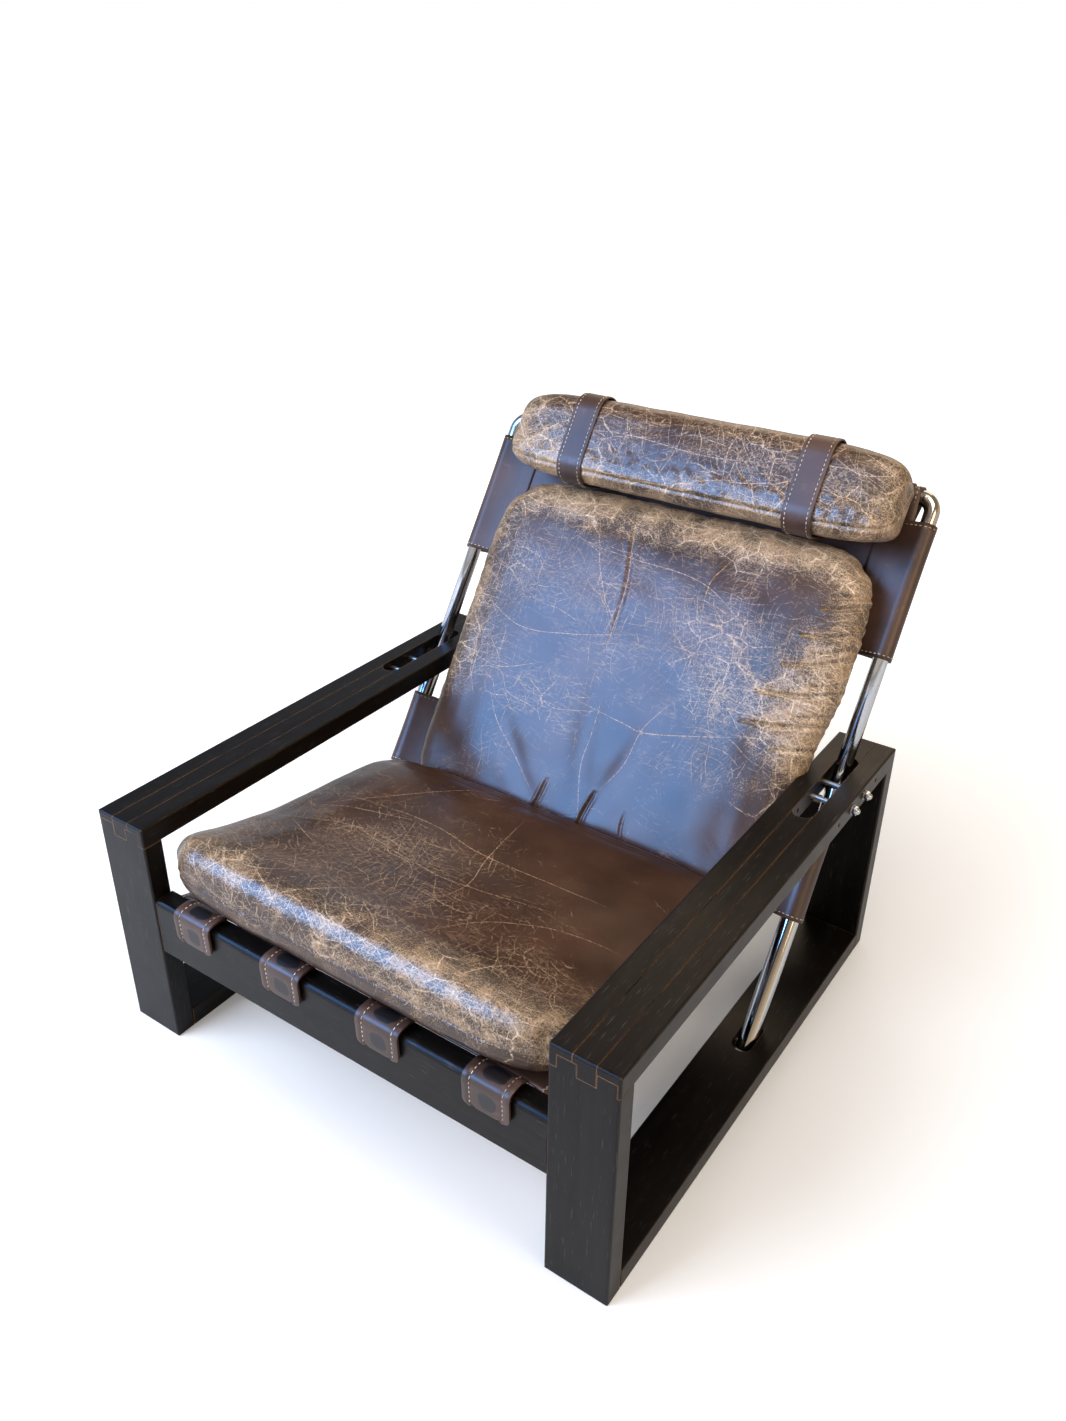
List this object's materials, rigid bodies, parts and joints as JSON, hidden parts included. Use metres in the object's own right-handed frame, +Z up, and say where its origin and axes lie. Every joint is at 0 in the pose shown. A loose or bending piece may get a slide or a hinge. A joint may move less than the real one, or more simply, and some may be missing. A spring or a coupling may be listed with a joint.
{
  "type": "reclining lounge chair",
  "caption": "Low leather lounge chair: black slatted box-frame arms, a tilting chromed tube back pinned by cross bolts, leather slings, and seat, back and head cushions.",
  "frame": {"origin": "on the floor, under the middle of the whole chair's outline", "axes": "+Z up, the sitter faces -Y, +X to the right of someone who looks at the chair's front"},
  "size_m": [0.9264, 1.0318, 0.8561],
  "materials": {
    "black_wood": "black stained, satin lacquer, worn at the edges",
    "dowel_wood": "plain beech",
    "chrome": "polished, lightly pitted",
    "steel": "zinc plated",
    "plug_plastic": "matte",
    "sling_leather": "smooth dark saddle leather",
    "cushion_leather": "worn and crackled aniline leather"
  },
  "bodies": {
    "frame": {"right_arm_inner_lath": "black_wood", "left_arm_inner_lath": "black_wood", "right_arm_centre_lath_front": "black_wood", "left_arm_centre_lath_front": "black_wood", "right_arm_centre_lath_rear": "black_wood", "left_arm_centre_lath_rear": "black_wood", "right_arm_outer_lath": "black_wood", "left_arm_outer_lath": "black_wood", "right_front_post": "black_wood", "left_front_post": "black_wood", "right_rear_post": "black_wood", "left_rear_post": "black_wood", "right_bottom_board": "black_wood", "left_bottom_board": "black_wood", "front_rail": "black_wood", "rear_rail": "black_wood", "right_front_rail_dowel_1": "dowel_wood", "left_front_rail_dowel_1": "dowel_wood", "right_front_rail_dowel_2": "dowel_wood", "left_front_rail_dowel_2": "dowel_wood", "right_rear_rail_dowel_1": "dowel_wood", "left_rear_rail_dowel_1": "dowel_wood", "right_rear_rail_dowel_2": "dowel_wood", "left_rear_rail_dowel_2": "dowel_wood", "right_pivot_pin": "steel", "left_pivot_pin": "steel", "seat_sling": "sling_leather", "rail_strap_1": "sling_leather", "rail_strap_2": "sling_leather", "rail_strap_3": "sling_leather", "rail_strap_4": "sling_leather", "seat_cushion": "cushion_leather"},
    "back": {"back_hoop": "chrome", "right_lower_tube": "chrome", "left_lower_tube": "chrome", "right_foot_plug": "plug_plastic", "left_foot_plug": "plug_plastic", "right_corner_screw": "steel", "left_corner_screw": "steel", "back_sling": "sling_leather", "right_head_strap": "sling_leather", "left_head_strap": "sling_leather", "back_cushion": "cushion_leather", "head_cushion": "cushion_leather"},
    "bolt_right_2": {"right_bolt_2": "steel", "right_bolt_2_cap_nut": "chrome", "right_bolt_2_washer": "steel"},
    "bolt_right_3": {"right_bolt_3": "steel", "right_bolt_3_cap_nut": "chrome", "right_bolt_3_washer": "steel"},
    "bolt_left_1": {"left_bolt_1": "steel", "left_bolt_1_cap_nut": "chrome", "left_bolt_1_washer": "steel"},
    "bolt_left_2": {"left_bolt_2": "steel", "left_bolt_2_cap_nut": "chrome", "left_bolt_2_washer": "steel"}
  },
  "joints": [
    {"name": "back_tilt", "type": "hinge", "parent": "frame", "child": "back", "pos_m": [0, -0.01538, 0.0175], "axis": [-1, 0, 0], "range_deg": [0, 1.9]},
    {"name": "bolt_right_2_slide", "type": "slide", "parent": "frame", "child": "bolt_right_2", "axis": [1, 0, 0], "range_m": [0, 0.08]},
    {"name": "bolt_right_3_slide", "type": "slide", "parent": "frame", "child": "bolt_right_3", "axis": [1, 0, 0], "range_m": [0, 0.08]},
    {"name": "bolt_left_1_slide", "type": "slide", "parent": "frame", "child": "bolt_left_1", "axis": [-1, 0, 0], "range_m": [0, 0.08]},
    {"name": "bolt_left_2_slide", "type": "slide", "parent": "frame", "child": "bolt_left_2", "axis": [-1, 0, 0], "range_m": [0, 0.08]}
  ]
}
